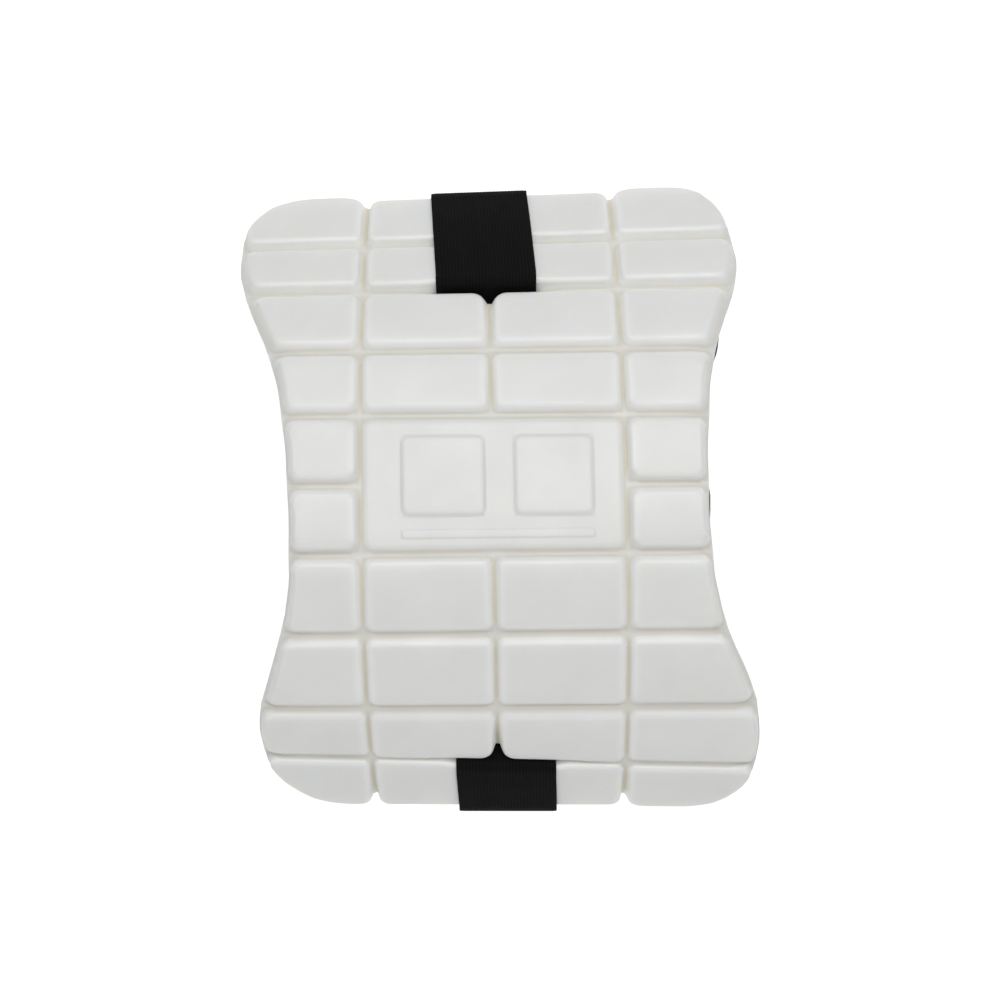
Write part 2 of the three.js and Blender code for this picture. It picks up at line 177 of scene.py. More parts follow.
# Floors of the grooves: how far they are drawn up at the sides of the pad, and the widths over which that
# changes from the sides, the bottom end and the slots.
EDGE_FILL = 0.0018
SIDE_FILL_START = 0.001
SIDE_FILL_WIDTH = 0.01
BOTTOM_FILL_WIDTH = 0.012
SLOT_FILL_START = 0.0262
SLOT_FILL_ACROSS = 0.015
SLOT_FILL_ALONG = 0.02
RIM_TOP = -0.00005

# Painted light and shade on the foam skin. Painted shade, darker and cream, lies in the grooves, within a
# width of their lines, and less at a crossing, where less shade falls. A painted highlight lies over the
# upper edges of
# the blocks: how far it fades into the tops, how far from the middle of the pad it shows on edges that face
# an end, and its share on edges along the pad. Painted shade greys the sides, and how far it fades in.
GROOVE_SHADE_WIDTH = 0.006
CROSSING_WIDTH = 0.009
HIGHLIGHT_FADE = 0.0019
HIGHLIGHT_REACH = 0.11
COLUMN_HIGHLIGHT = 0.75
SIDE_SHADE_FADE = 0.004

# Notches where the grooves along the pad run out at its ends: how far and how much their foot is squeezed,
# and how far the base dips in there at the bottom end.
NOTCH_LENGTH = 0.009
NOTCH_WIDTH = 0.012
NOTCH_SQUEEZE = 0.85
NOTCH_DIP = 0.0014

# Edge of the base from the groove floor round to the back: how far out each step is, and its height.
Rim = namedtuple("Rim", "out z")
LIP = -0.0004
RIM = (
    Rim(-0.00012, -0.0001),
    Rim(0.0, -0.0004),
    Rim(0.0, -0.005),
    Rim(-0.0003, -0.006),
    Rim(-0.0009, -0.0067),
    Rim(-0.002, -0.007),
)

# Raised plain fields of the middle panel.
TILE_CORNER = 0.003
TILE_BORDER = 0.0008
Tile = namedtuple("Tile", "left right low high rise")
TILES = (
    Tile(-0.045, -0.003, 0.162, 0.203, 0.002),
    Tile(0.009, 0.049, 0.162, 0.203, 0.002),
    Tile(-0.045, 0.049, 0.1515, 0.1575, 0.0008),
)

# Lining: clearances from the pad, and how far its right edge stands proud of the pad.
LINING_GAP = 0.0004
LINING_END_TRIM = 0.004
LINING_LEFT_TRIM = 0.0006
LINING_SLOT_SHIFT = 0.0028
LINING_SLOT_HALF = 0.0024
Proud = namedtuple("Proud", "r right")
LINING_EDGE = (
    Proud(0.0, -0.0006),
    Proud(0.15, -0.0006),
    Proud(0.159, 0.001),
    Proud(0.168, 0.0017),
    Proud(0.176, 0.0014),
    Proud(0.186, -0.0004),
    Proud(0.236, -0.0006),
    Proud(0.244, 0.0006),
    Proud(0.2505, 0.0013),
    Proud(0.257, 0.0004),
    Proud(0.264, -0.0006),
    Proud(PAD_LENGTH, -0.0006),
)

# Middle line of the strap where it dives through a slot and where it rounds an end of the pad: how far out
# towards that end, and how high over the tops of the blocks.
Turn = namedtuple("Turn", "out n")
STRAP_OVER = 0.0011
STRAP_BEHIND = -0.0178
SLOT_TURN = (
    Turn(0.007, STRAP_OVER),
    Turn(0.0044, STRAP_OVER),
    Turn(0.0029, 0.0006),
    Turn(0.0016, -0.0006),
    Turn(0.0008, -0.0026),
    Turn(0.0002, -0.006),
    Turn(-0.001, -0.0105),
    Turn(-0.0026, -0.015),
    Turn(-0.0044, -0.0175),
    Turn(-0.008, STRAP_BEHIND),
)
END_TURN = (
    Turn(-0.004, STRAP_OVER),
    Turn(-0.0006, 0.0009),
    Turn(0.0007, 0.0001),
    Turn(0.0014, -0.0015),
    Turn(0.0016, -0.004),
    Turn(0.0016, -0.008),
)
BOTTOM_END_X = 0.0042
TOP_END_X = -0.005
STRAP_THICKNESS = 0.0016
FLOOR_BEND = 0.0035
STRAP_TOP_SHIFT = -0.0004
STRAP_BOTTOM_SHIFT = 0.0008
RIB_STEPS = 4
SELVEDGE_DROP = 0.0003
BEND_STEP = 0.006
TANGENT_STEP = 0.0004
SEAM_GAP = 0.00001


def linear(code):
    """Linear colour, with alpha, of an sRGB hex code."""
    shares = (int(code[k:k + 2], 16) / 255 for k in (1, 3, 5))
    return tuple(s / 12.92 if s <= 0.04045 else ((s + 0.055) / 1.055) ** 2.4 for s in shares) + (1.0,)


def per(millimetres):
    """Texture scale that repeats a pattern once in a length."""
    return 1000 / millimetres


def clamp(value, low=0.0, high=1.0):
    return min(max(value, low), high)


def ease(share):
    """Soft start and stop between 0 and 1."""
    t = clamp(share)
    return t * t * (3 - 2 * t)


def smooth(table, column, r):
    """Value of a column of a table at r, on a smooth curve through its rows."""
    last = len(table) - 1
    i = 0
    while i < last - 1 and r > table[i + 1].r:
        i += 1

    def slope(k):
        a = table[max(k - 1, 0)]
        b = table[min(k + 1, last)]
        return (getattr(b, column) - getattr(a, column)) / (b.r - a.r)

    span = table[i + 1].r - table[i].r
    t = clamp((r - table[i].r) / span)
    start = getattr(table[i], column) + slope(i) * t * span
    end = getattr(table[i + 1], column) + slope(i + 1) * (t - 1) * span
    return start + (end - start) * ease(t)


def bow_at(r):
    """Height line of the block tops at r: y, z and tilt, straight on beyond both ends."""
    tilt = START_TILT
    left = clamp(r, 0, PAD_LENGTH)
    beyond = r - left
    y = z = 0.0
    for arc in ARCS:
        run = min(left, arc.length)
        bend = math.radians(arc.turn) / arc.length
        after = tilt + bend * run
        y += (math.sin(after) - math.sin(tilt)) / bend
        z += (math.cos(after) - math.cos(tilt)) / bend
        tilt = after
        left -= run
    return y + beyond * math.cos(tilt), z - beyond * math.sin(tilt), tilt


def lowest_back_edge():
    """Height of the lower of the two back edges on the bow, before the guard is set on the floor."""
    ends = (bow_at(EDGE_ROUND), bow_at(PAD_LENGTH - EDGE_ROUND))
    return min(z - PAD_THICKNESS * math.cos(tilt) for y, z, tilt in ends)


MIDDLE_X = 0.0016
MIDDLE_Y = bow_at(PAD_LENGTH)[0] / 2 - 0.0001
LIFT = STRAP_THICKNESS + LINING_GAP - lowest_back_edge()


def skew_at(r):
    """Slope in plan of a line across the pad."""
    return smooth(GROOVES, "skew", r) / SKEW_REACH


def place(x, r, n):
    """Place on the bowed pad of a flat point that is n above the tops of the blocks."""
    y, z, tilt = bow_at(r)
    return Vector((
        x - MIDDLE_X,
        y + n * math.sin(tilt) - MIDDLE_Y + skew_at(r) * x,
        z + n * math.cos(tilt) + LIFT,
    ))


def side_of(x):
    return "left" if x < 0 else "right"


def outline_point(x, r, side_out, end_out):
    """Outline point for a point on the edge of the squared plan, moved out from its side and end."""
    sign = -1 if x < 0 else 1
    low = r < PAD_LENGTH / 2
    corner = CORNERS["bottom" if low else "top", side_of(x)]
    at_end = min(r, PAD_LENGTH - r) < 1e-6
    squared_side = smooth(OUTLINE, side_of(x), r)
    side = squared_side + sign * side_out
    if not at_end or abs(x) > abs(squared_side) - 1e-6:
        x = side
    outer = ease((abs(x) - abs(COLUMN_GROOVES[0])) / REACH_RAMP)
    into = 1 if low else -1
    squared_end = (0 if low else PAD_LENGTH) - into * corner.reach * outer
    if at_end:
        r = squared_end - into * end_out
    middle_x = squared_side - sign * corner.across
    middle_r = squared_end + into * corner.along
    u = (x - middle_x) * sign / (corner.across + side_out)
    v = (middle_r - r) * into / (corner.along + end_out)
    if u > 0 and v > 0:
        pull = max(u, v) / (u ** corner.power + v ** corner.power) ** (1 / corner.power)
        x = middle_x + (x - middle_x) * pull
        r = middle_r + (r - middle_r) * pull
    return x, r


def spot(co):
    """Whole micrometres of a point, to find the corner again that an edge was drawn out from."""
    return tuple(round(c * 1e6) for c in co)


def everything(bm):
    return bm.verts[:] + bm.edges[:] + bm.faces[:]


def edges_of(faces):
    """Edges of faces, each of them once, in the order of the faces."""
    return list(dict.fromkeys(e for f in faces for e in f.edges))


def corners_of(faces):
    """Corners of faces, each of them once, in the order of the faces."""
    return list(dict.fromkeys(v for f in faces for v in f.verts))


def touching(faces):
    """Faces with their edges and corners."""
    return list(faces) + edges_of(faces) + corners_of(faces)


def settle_order(bm):
    """Orders corners, edges and faces by place, because a bevel leaves them in another order each run."""
    bm.verts.sort(key=lambda v: v.co.dot(ORDER))
    bm.edges.sort(key=lambda e: (e.verts[0].co + e.verts[1].co).dot(ORDER))
    bm.faces.sort(key=lambda f: f.calc_center_median().dot(ORDER))


def cut(bm, geom, axis, at, snap=1e-6):
    """Cuts faces along a straight line, square to an axis of the flat plan."""
    bmesh.ops.bisect_plane(bm, geom=geom, dist=snap, plane_co=axis * at, plane_no=axis)


def raise_tops(bm, tops, steps):
    """Draws faces in and up, one step after the other."""
    for inset, rise in steps:
        bmesh.ops.inset_individual(bm, faces=tops, thickness=inset, depth=rise, use_even_offset=True)


def add_node(tree, kind, inputs=None, **settings):
    """Adds a shader node, with its settings and with values or links for its inputs."""
    node = tree.nodes.new(kind)
    for name, value in settings.items():
        setattr(node, name, value)
    for name, value in (inputs or {}).items():
        if isinstance(value, bpy.types.NodeSocket):
            tree.links.new(value, node.inputs[name])
        else:
            node.inputs[name].default_value = value
    return node


def new_material(name):
    """Empty node material and its tree."""
    material = bpy.data.materials.new(name)
    material.use_nodes = True
    material.node_tree.nodes.clear()
    return material, material.node_tree


def add_piece(name, bm, material, node):
    """Turns a mesh into a piece that rides on the guard and stands for a solid of the frame."""
    mesh = bpy.data.meshes.new(name)
    bm.to_mesh(mesh)
    bm.free()
    mesh.materials.append(material)
    mesh.shade_smooth()
    piece = bpy.data.objects.new(name, mesh)
    bpy.context.scene.collection.objects.link(piece)
    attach(piece, BODY)
    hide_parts(node)
    return piece


def moulded_foam(settings):
    """Skinned EVA foam, compression moulded: a satin white closed skin with painted shade, darker and cream,
    in the grooves, a painted highlight over the edges and painted shade, a little greyer, on the sides, with
    a faint cloudiness and pores that are drawn coarser than real ones, which are too fine to show."""
    material, tree = new_material("moulded_eva_foam_white")
    place_at = add_node(tree, "ShaderNodeTexCoord").outputs["Object"]
    cloud = add_node(tree, "ShaderNodeTexNoise", {"Vector": place_at, "Scale": per(28), "Detail": 3.0})
    pores = add_node(tree, "ShaderNodeTexNoise", {"Vector": place_at, "Scale": per(0.55), "Detail": 2.0})
    ripple = add_node(tree, "ShaderNodeTexNoise", {"Vector": place_at, "Scale": per(4.5), "Detail": 1.0})
    skin = settings.skin_colour
    # Painted shade in the grooves, a painted highlight over the block edges and painted shade on the sides.
    for attribute, tint in (
        ("groove_shade", settings.groove_shade_colour),
        ("edge_highlight", settings.highlight_colour),
        ("side_shade", settings.side_shade_colour),
    ):
        share = add_node(tree, "ShaderNodeAttribute", attribute_name=attribute).outputs["Fac"]
        mix = add_node(tree, "ShaderNodeMix", {"Factor": share, "A": skin, "B": tint}, data_type="RGBA")
        skin = mix.outputs["Result"]
    shade = add_node(
        tree,
        "ShaderNodeMapRange",
        {"Value": cloud.outputs["Fac"], "From Min": 0.3, "From Max": 0.7, "To Min": 0.965, "To Max": 1.0},
    )
    base = add_node(
        tree,
        "ShaderNodeVectorMath",
        {0: skin, "Scale": shade.outputs["Result"]},
        operation="SCALE",
    )
    gloss = add_node(
        tree,
        "ShaderNodeMapRange",
        {"Value": cloud.outputs["Fac"], "From Min": 0.3, "From Max": 0.7, "To Min": 0.44, "To Max": 0.36},
    )
    wavy = add_node(
        tree,
        "ShaderNodeBump",
        {"Height": ripple.outputs["Fac"], "Strength": 0.25, "Distance": 0.0002},
    )
    grain = add_node(
        tree,
        "ShaderNodeBump",
        {
            "Height": pores.outputs["Fac"],
            "Strength": 0.3,
            "Distance": 0.00006,
            "Normal": wavy.outputs["Normal"],
        },
    )
    shader = add_node(
        tree,
        "ShaderNodeBsdfPrincipled",
        {
            "Base Color": base.outputs["Vector"],
            "Roughness": gloss.outputs["Result"],
            "IOR": 1.48,
            "Subsurface Weight": 0.65,
            "Subsurface Radius": (1.0, 0.9, 0.75),
            "Subsurface Scale": 0.005,
            "Normal": grain.outputs["Normal"],
        },
    )
    add_node(tree, "ShaderNodeOutputMaterial", {"Surface": shader.outputs["BSDF"]})
    return material


def knitted_lining(settings):
    """Polyester warp knit, brushed: a dull black cloth with fine ribs along its length."""
    material, tree = new_material("warp_knit_lining_black")
    flat = add_node(tree, "ShaderNodeUVMap", uv_map="cloth").outputs["UV"]
    sized = add_node(
        tree,
        "ShaderNodeMapping",
        {"Vector": flat, "Scale": (settings.width, PAD_LENGTH, 1.0)},
    ).outputs["Vector"]
    wales = add_node(
        tree,
        "ShaderNodeTexWave",
        {"Vector": sized, "Scale": per(1.1) / 20 * math.tau, "Distortion": 0.4, "Detail": 1.0},
        bands_direction="X",
    )
    courses = add_node(
        tree,
        "ShaderNodeTexWave",
        {"Vector": sized, "Scale": per(0.9) / 20 * math.tau, "Distortion": 0.6, "Detail": 1.0},
        bands_direction="Y",
    )
    nap = add_node(tree, "ShaderNodeTexNoise", {"Vector": sized, "Scale": per(6), "Detail": 4.0})
    loops = add_node(
        tree,
        "ShaderNodeMath",
        {0: wales.outputs["Fac"], 1: courses.outputs["Fac"]},
        operation="MULTIPLY",
    )
    base = add_node(
        tree,
        "ShaderNodeMix",
        {"Factor": loops.outputs["Value"], "A": linear("#101011"), "B": settings.cloth_colour},
        data_type="RGBA",
    )
    fuzz = add_node(tree, "ShaderNodeMapRange", {"Value": nap.outputs["Fac"], "To Min": 0.8, "To Max": 1.0})
    relief = add_node(
        tree,
        "ShaderNodeBump",
        {"Height": loops.outputs["Value"], "Strength": 0.6, "Distance": 0.0002},
    )
    shader = add_node(
        tree,
        "ShaderNodeBsdfPrincipled",
        {
            "Base Color": base.outputs["Result"],
            "Roughness": fuzz.outputs["Result"],
            "Sheen Weight": 0.15,
            "Sheen Roughness": 0.5,
            "Specular IOR Level": 0.25,
            "Normal": relief.outputs["Normal"],
        },
    )
    add_node(tree, "ShaderNodeOutputMaterial", {"Surface": shader.outputs["BSDF"]})
    return material


def woven_elastic(settings, length):
    """Woven polyester elastic: black, with lengthwise ribs over rubber cores and fine weft picks across, a
    painted soft sheen on the ribs and painted shade in the furrows between them. The ribs are wider than
    real ones, which are too fine to show."""
    material, tree = new_material("woven_elastic_black")
    flat = add_node(tree, "ShaderNodeUVMap", uv_map="weave").outputs["UV"]
    sized = add_node(
        tree,
        "ShaderNodeMapping",
        {"Vector": flat, "Scale": (2 * settings.width, length, 1.0)},
    ).outputs["Vector"]
    picks = add_node(
        tree,
        "ShaderNodeTexWave",
        {"Vector": sized, "Scale": per(0.8) / 20 * math.tau, "Distortion": 0.8, "Detail": 1.0},
        bands_direction="Y",
    )
    lint = add_node(tree, "ShaderNodeTexNoise", {"Vector": sized, "Scale": per(9), "Detail": 5.0})
    # The ridge share paints a sheen on the ribs and shade in the furrows between them.
    ridge = add_node(tree, "ShaderNodeAttribute", attribute_name="ridge").outputs["Fac"]
    base = add_node(
        tree,
        "ShaderNodeMix",
        {"Factor": ridge, "A": linear("#060606"), "B": settings.elastic_colour},
        data_type="RGBA",
    )
    dull = add_node(tree, "ShaderNodeMapRange", {"Value": lint.outputs["Fac"], "To Min": 0.65, "To Max": 0.9})
    relief = add_node(
        tree,
        "ShaderNodeBump",
        {"Height": picks.outputs["Fac"], "Strength": 0.35, "Distance": 0.0001},
    )
    shader = add_node(
        tree,
        "ShaderNodeBsdfPrincipled",
        {
            "Base Color": base.outputs["Result"],
            "Roughness": dull.outputs["Result"],
            "Specular IOR Level": 0.12,
            "Normal": relief.outputs["Normal"],
        },
    )
    add_node(tree, "ShaderNodeOutputMaterial", {"Surface": shader.outputs["BSDF"]})
    return material


def lit_sheet(settings):
    """Opal acrylic sheet, cast and lit from below: an even pale white with a barely seen haze, on which
    shadows stay faint."""
    material, tree = new_material("cast_opal_acrylic_white")
    place_at = add_node(tree, "ShaderNodeTexCoord").outputs["Object"]
    haze = add_node(tree, "ShaderNodeTexNoise", {"Vector": place_at, "Scale": per(3), "Detail": 3.0})
    base = add_node(
        tree,
        "ShaderNodeMix",
        {"Factor": haze.outputs["Fac"], "A": linear("#a0a09f"), "B": settings.sheet_colour},
        data_type="RGBA",
    )
    shader = add_node(
        tree,
        "ShaderNodeBsdfPrincipled",
        {
            "Base Color": base.outputs["Result"],
            "Roughness": 0.9,
            "Specular IOR Level": 0.1,
            "Emission Color": linear("#ffffff"),
            "Emission Strength": 0.9,
        },
    )
    add_node(tree, "ShaderNodeOutputMaterial", {"Surface": shader.outputs["BSDF"]})
    return material


def length_setting(name, description, metres):
    """Setting for a size."""
    return FloatProperty(name=name, description=description, default=metres, unit="LENGTH")


def angle_setting(name, description, degrees):
    """Setting for an angle."""
    return FloatProperty(name=name, description=description, default=math.radians(degrees), subtype="ANGLE")


def colour_setting(name, description, code):
    """Setting for a colour, from its hex code."""
    return FloatVectorProperty(
        name=name,
        description=description,
        default=linear(code),
        size=4,
        subtype="COLOR",
    )


class ChestGuardPadSettings(bpy.types.PropertyGroup):
    """Sizes and colours of the foam pad."""

    corner_radius: length_setting("Block corner", "Radius of a block's corners", 0.0036)
    slot_corner_radius: length_setting("Corner at a slot", "Radius of block corners beside the slots", 0.0065)
    end_corner_radius: length_setting("Corner at an end", "Radius of block corners at an end", 0.0055)
    side_corner_radius: length_setting("Corner at a side", "Radius of block corners at the waist", 0.0048)
    panel_drop: length_setting("Panel drop", "How far the middle panel lies below the tops", 0.0036)
    waviness: length_setting("Waviness", "Height of the slight unevenness of the block tops", 0.00012)
    skin_colour: colour_setting("Skin", "Colour of the foam skin", "#eff0ee")
    # Colours of the painted highlight on the block edges, the painted shade in the grooves and on the sides.
    highlight_colour: colour_setting("Crowns", "Colour of the skin drawn tight", "#f6f7f5")
    groove_shade_colour: colour_setting("Grooves", "Colour of the skin where it is pressed thin", "#dfdacb")
    side_shade_colour: colour_setting("Sides", "Colour of the trimmed sides", "#e4e4e2")


class ChestGuardLiningSettings(bpy.types.PropertyGroup):
    """Sizes and colour of the back lining."""

    thickness: length_setting("Thickness", "Thickness of the lining cloth", 0.0012)
    width: length_setting("Width", "Widest cut of the lining cloth", 0.254)
    cloth_colour: colour_setting("Cloth", "Colour of the knit", "#202021")


class ChestGuardStrapSettings(bpy.types.PropertyGroup):
    """Sizes and colour of the elastic loop."""

    width: length_setting("Width", "Width of the elastic", 0.05)
    ribs: IntProperty(
        name="Ribs",
        description="Number of lengthwise ribs across the elastic",
        default=30,
        min=4,
    )
    rib_height: length_setting("Rib height", "Height of a rib over the furrows beside it", 0.00016)
    elastic_colour: colour_setting("Elastic", "Colour of the ribs", "#111111")


class ChestGuardStageSettings(bpy.types.PropertyGroup):
    """Floor, light and camera of the picture."""

    floor_size: length_setting("Floor", "Side of the lit sheet that is the floor", 6.0)
    sheet_colour: colour_setting("Sheet", "Colour of the floor", "#a6a6a5")
    camera_distance: length_setting("Camera distance", "Distance of the camera from the guard", 0.5875)
    camera_turn: angle_setting("Camera turn", "Turn of the camera about the upright axis", -0.87)
    camera_rise: angle_setting("Camera rise", "Angle of the camera over the floor", 87.14)
    camera_roll: angle_setting("Camera roll", "Turn of the camera about its own line of sight", -0.21)
    lens: FloatProperty(
        name="Lens",
        description="Focal length on a 36 mm wide frame, in millimetres",
        default=44.55,
    )


# Lines that are cut across the pad for its bending, besides those beside the grooves.
LINE_STEP = 0.008
LINE_COUNT = 15
LINE_SNAP = 0.0002
COLUMN_STRIP = 0.0065
SIDE_CUTS = 3
END_CUTS = 4
ACROSS = Vector((1, 0, 0))
ALONG = Vector((0, 1, 0))
# A slanting direction, along which hardly any two corners are level.
ORDER = Vector((0.61, 1, 0.37))


def on_panel(x, r):
    return COLUMN_GROOVES[0] < x < COLUMN_GROOVES[-1] and PANEL_LOW < r < PANEL_HIGH


def plan_line(column, r):
    """Place across the pad of a column line of the squared plan."""
    if 0 < column <= len(COLUMN_GROOVES):
        return COLUMN_GROOVES[column - 1]
    return smooth(OUTLINE, "left" if column == 0 else "right", r)


def squared_plan(bm):
    """Grid of cells, one to a block, with its lines along the grooves and the panel in one piece."""
    columns = len(COLUMN_GROOVES) + 1
    rows = len(GROOVES) - 1
    bmesh.ops.create_grid(bm, x_segments=columns, y_segments=rows, size=0.5)
    for v in bm.verts:
        r = GROOVES[round((v.co.y + 0.5) * rows)].r
        v.co = (plan_line(round((v.co.x + 0.5) * columns), r), r, 0)
    panel = [face for face in bm.faces if on_panel(*face.calc_center_median().xy)]
    bmesh.ops.dissolve_faces(bm, faces=panel, use_verts=True)
    sides = []
    ends = []
    for edge in bm.edges:
        middle = (edge.verts[0].co + edge.verts[1].co) / 2
        if edge.is_boundary and abs(middle.x) > abs(COLUMN_GROOVES[0]):
            (ends if min(middle.y, PAD_LENGTH - middle.y) < 1e-6 else sides).append(edge)
    grid = {spot(v.co) for v in bm.verts}
    bmesh.ops.bisect_edges(bm, edges=sides, cuts=SIDE_CUTS)
    bmesh.ops.bisect_edges(bm, edges=ends, cuts=END_CUTS)
    clear = [e for e in bm.edges if e.is_boundary and not any(spot(v.co) in grid for v in e.verts)]
    bmesh.ops.bisect_edges(bm, edges=clear, cuts=1)


def block_corner(settings, x, r):
    """Radius of a corner of a block, which depends on where on the pad it is."""
    waist = WAIST_LOW < r < WAIST_HIGH
    if abs(x) > abs(COLUMN_GROOVES[0]) + (0 if waist else NEAR_SIDE):
        return settings.side_corner_radius
    for slot in SLOTS:
        if abs(r - slot.r) < NEAR_SLOT_ALONG and abs(x - slot.x) < NEAR_SLOT_ACROSS:
            return settings.slot_corner_radius
    at_end = min(r, PAD_LENGTH - r) < NEAR_END
    return settings.end_corner_radius if at_end else settings.corner_radius


def round_edges(bm, edges, width, segments):
    bmesh.ops.bevel(
        bm,
        geom=edges,
        offset=width,
        offset_type="OFFSET",
        segments=segments,
        profile=0.5,
        affect="EDGES",
        material=-1,
    )


def stand_blocks(bm, cells, slope, rise, radius_at):
    """Raises cells with sloping walls and rounds the upright edges at their corners."""
    raise_tops(bm, cells, [(slope, rise)])
    posts = defaultdict(list)
    for face in cells:
        for loop in face.loops:
            if loop.calc_angle() < math.radians(140):
                post = next(e for e in loop.vert.link_edges if e not in face.edges)
                posts[radius_at(loop.vert.co.x, loop.vert.co.y)].append(post)
    for radius, edges in posts.items():
        round_edges(bm, edges, radius, 6)


def tops_at(bm, height, area):
    """Faces that lie level at a height and have at least an area."""
    found = []
    for face in bm.faces:
        if face.calc_area() > area and all(abs(v.co.z - height) < 1e-6 for v in face.verts):
            found.append(face)
    return found


def cut_slot(bm, slot, half):
    """Takes the floor of a groove away where the strap goes through it, with a tip into the middle groove."""
    tip = slot.r - slot.towards * SLOT_TIP
    lines = (
        (ACROSS, slot.x - half),
        (ACROSS, slot.x + half),
        (ALONG, slot.r - FOOT_TO_ROW),
        (ALONG, slot.r + FOOT_TO_ROW),
        (ALONG, tip),
    )

    def floor_near(reach):
        found = []
        for face in bm.faces:
            centre = face.calc_center_median()
            inside = abs(centre.x) < abs(COLUMN_GROOVES[0]) - SLOT_CUT_MARGIN
            if inside and abs(centre.y - slot.r) < reach and max(v.co.z for v in face.verts) < 1e-6:
                found.append(face)
        return found

    for axis, at in lines:
        cut(bm, touching(floor_near(SLOT_CUT_REACH)), axis, at)
    taken = []
    for face in floor_near(SLOT_TIP):
        centre = face.calc_center_median()
        off = (slot.r - centre.y) * slot.towards
        in_slot = abs(centre.x - slot.x) < half and abs(off) < FOOT_TO_ROW
        in_tip = abs(centre.x - COLUMN_GROOVES[1]) < SLOT_TIP_HALF and 0 < off < SLOT_TIP
        if in_slot or in_tip:
            taken.append(face)
    bmesh.ops.delete(bm, geom=taken, context="FACES")


def close_back(bm, plans):
    """Draws the open edges down to the back, rounded at the outline leaning in the slots, and fills them."""
    rims = [e for e in bm.edges if e.is_boundary]
    known = {spot(v.co): plan for v, plan in plans.items()}
    depth = 0.0
    for step in RIM:
        drawn = bmesh.ops.extrude_edge_only(bm, edges=rims)["geom"]
        for v in drawn:
            if not isinstance(v, bmesh.types.BMVert):
                continue
            plan = known.get(spot(v.co))
            if plan:
                v.co.xy = outline_point(plan.x, plan.y, step.out, step.out)
            else:
                slot = min(SLOTS, key=lambda near: abs(near.r - v.co.y))
                v.co.y += slot.towards * SLOT_SLANT * (step.z - depth)
            v.co.z = step.z
            if plan:
                known[spot(v.co)] = plan
        rims = [e for e in drawn if isinstance(e, bmesh.types.BMEdge) and e.is_boundary]
        depth = step.z
    bmesh.ops.triangle_fill(bm, edges=rims, use_beauty=True)
    bmesh.ops.recalc_face_normals(bm, faces=bm.faces[:])


def raise_tiles(bm, level):
    """Plain raised fields on the middle panel."""

    def panel_faces(height):
        found = []
        for face in bm.faces:
            x, r, z = face.calc_center_median()
            if abs(z - height) < 1e-6 and on_panel(x, r):
                found.append(face)
        return found

    def within(faces, tile):
        found = []
        for face in faces:
            x, r, z = face.calc_center_median()
            if tile.left < x < tile.right and tile.low < r < tile.high:
                found.append(face)
        return found

    for tile in TILES:
        for axis, at in ((ACROSS, tile.left), (ACROSS, tile.right), (ALONG, tile.low), (ALONG, tile.high)):
            cut(bm, touching(panel_faces(level)), axis, at)
        field = within(panel_faces(level), tile)
        if len(field) > 1:
            field = bmesh.ops.dissolve_faces(bm, faces=field, use_verts=True)["region"]
        raise_tops(bm, field, [(TILE_BORDER, 0)])
        corner = min(TILE_CORNER, (tile.high - tile.low) / 6)
        stand_blocks(bm, field, tile.rise * 0.7, tile.rise, lambda x, r: corner)
        rims = edges_of(within(tops_at(bm, level + tile.rise, 1e-5), tile))
        round_edges(bm, rims, tile.rise * 0.6, 4)


def groove_shade_share(x, r, z):
    """Share of the painted shade in the grooves: most in a groove along the pad, less where grooves cross, as
    less shade falls there.
    """
    depth = clamp(1 - z / GROOVE_DEPTH)
    off_column = min(abs(x - line) for line in COLUMN_GROOVES)
    off_row = min(abs(r - groove.r) for groove in GROOVES[1:-1])
    crossing = ease(1 - math.hypot(off_column, off_row) / CROSSING_WIDTH)
    along = ease(1 - off_column / GROOVE_SHADE_WIDTH)
    return depth ** 4 * (0.6 + 0.4 * along) * (1 - 0.6 * crossing)


def corner_cut(side, r, trim=0.0):
    """How far a rounded corner takes the outline in from its side at r, when it is trimmed at the end."""
    total = 0.0
    for end, from_end in (("bottom", r), ("top", PAD_LENGTH - r)):
        corner = CORNERS[end, side]
        t = clamp(1 - (from_end + corner.reach + CORNER_SLACK - trim) / corner.along)
        total += corner.across * (1 - math.sqrt(1 - t * t))
    return total


def side_edge(side, r):
    """Distance of the outline from the middle at r, with the rounded corners."""
    return abs(smooth(OUTLINE, side, r)) - corner_cut(side, r)


def lean(x, r, z):
    """Moves the tops of the outer blocks in over the sides and out over the ends."""
    share = clamp(z / GROOVE_DEPTH)
    side = side_of(x)
    edge = side_edge(side, r)
    slope = (side_edge(side, r + SLOPE_STEP) - side_edge(side, r - SLOPE_STEP)) / (2 * SLOPE_STEP)
    square = 1 / (1 + slope * slope)
    from_side = (edge - abs(x)) * math.sqrt(square)
    shift_x = smooth(SIDE_LEAN, "side", r) * share * square * ease(1 - (from_side - LEAN_START) / LEAN_WIDTH)
    from_end = min(r, PAD_LENGTH - r)
    shift_r = END_LEAN * share * ease(1 - (from_end - LEAN_START) / LEAN_WIDTH)
    x -= math.copysign(shift_x, x)
    r += shift_r if r < PAD_LENGTH / 2 else -shift_r
    return x, r


def draw_over(x, r, z, clear):
    """Moves the edges of the tops over the grooves across the pad, but not where the strap crosses them."""
    share = clamp(z / GROOVE_DEPTH)
    groove = min(GROOVES, key=lambda line: abs(r - line.r))
    off = r - groove.r
    far = groove.above if off > 0 else -groove.below
    if abs(x) > abs(COLUMN_GROOVES[0]):
        far *= OUTER_EDGE_SHARE
    for slot in SLOTS:
        if groove.r == slot.r and off * slot.towards > 0:
            far *= ease((abs(x - slot.x) - clear) / STRAP_FADE)
    flat = FOOT_TO_ROW + WALL_SLOPE + CROWN
    return r - far * share * ease(1 - (abs(off) - flat) / EDGE_WIDTH)


